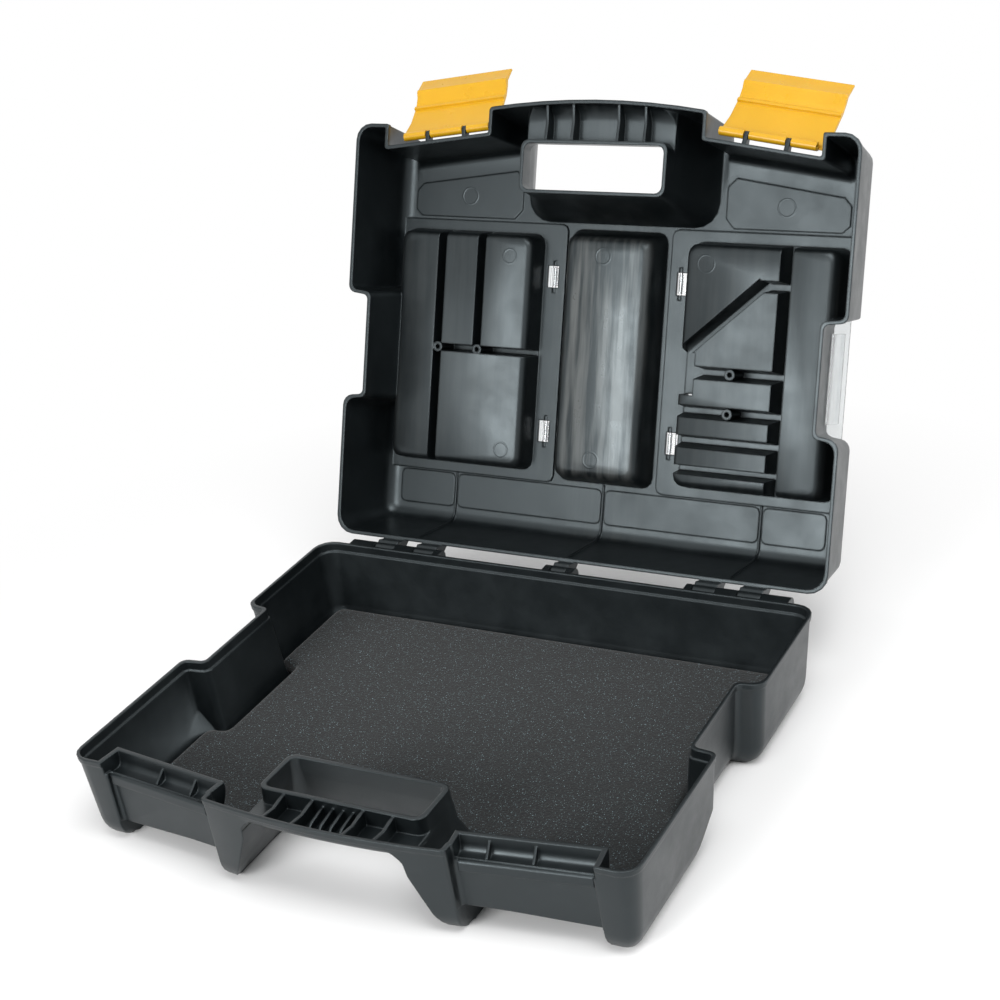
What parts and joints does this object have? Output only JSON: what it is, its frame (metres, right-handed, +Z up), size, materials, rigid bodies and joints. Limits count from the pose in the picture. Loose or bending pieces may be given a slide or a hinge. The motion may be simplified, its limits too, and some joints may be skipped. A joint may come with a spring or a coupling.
{
  "type": "hard tool case",
  "caption": "Hard plastic tool case with a hinged lid, hooked front latches, a two-part carrying grip, organiser pockets with clear covers and a foam floor pad.",
  "frame": {"origin": "middle of the flat underside of the base, on the surface it stands on", "axes": "+X to the right seen from the front, +Y towards the hinge, +Z up; the grip and latches are on the -Y side"},
  "size_m": [0.4, 0.5393, 0.3848],
  "materials": {
    "shell": "fine grained injection-moulded polypropylene, anthracite",
    "foam": "dense dark speckled foam",
    "pin_steel": "drawn steel wire",
    "latch": "semi-gloss yellow plastic",
    "cover": "clear moulded plastic"
  },
  "bodies": {
    "base": {"base_shell": "shell", "foam_pad": "foam", "hinge_pin_left": "pin_steel", "hinge_pin_centre": "pin_steel", "hinge_pin_right": "pin_steel"},
    "lid": {"lid_shell": "shell", "latch_pin_left": "pin_steel", "latch_pin_right": "pin_steel", "cover_pin_left_front": "pin_steel", "cover_pin_left_rear": "pin_steel", "cover_pin_right_front": "pin_steel", "cover_pin_right_rear": "pin_steel"},
    "latch_left": {"latch_left": "latch"},
    "latch_right": {"latch_right": "latch"},
    "cover_left": {"cover_left": "cover"},
    "cover_right": {"cover_right": "cover"}
  },
  "joints": [
    {"name": "lid_hinge", "type": "hinge", "parent": "base", "child": "lid", "pos_m": [0, 0.1673, 0.0583], "axis": [1, 0, 0], "range_deg": [0, 111.2]},
    {"name": "latch_right_hinge", "type": "hinge", "parent": "lid", "child": "latch_right", "pos_m": [0.128, 0.30328, 0.35081], "axis": [0.9912, -0.0479, -0.1236], "range_deg": [0, 126]},
    {"name": "latch_left_hinge", "type": "hinge", "parent": "lid", "child": "latch_left", "pos_m": [-0.128, 0.30328, 0.35081], "axis": [0.9912, 0.0479, 0.1236], "range_deg": [0, 126]},
    {"name": "cover_right_hinge", "type": "hinge", "parent": "lid", "child": "cover_right", "pos_m": [0.0518, 0.28785, 0.18133], "axis": [0, 0.3616, 0.9323], "range_deg": [0, 110]},
    {"name": "cover_left_hinge", "type": "hinge", "parent": "lid", "child": "cover_left", "pos_m": [-0.0518, 0.28785, 0.18133], "axis": [0, -0.3616, -0.9323], "range_deg": [0, 110]}
  ]
}
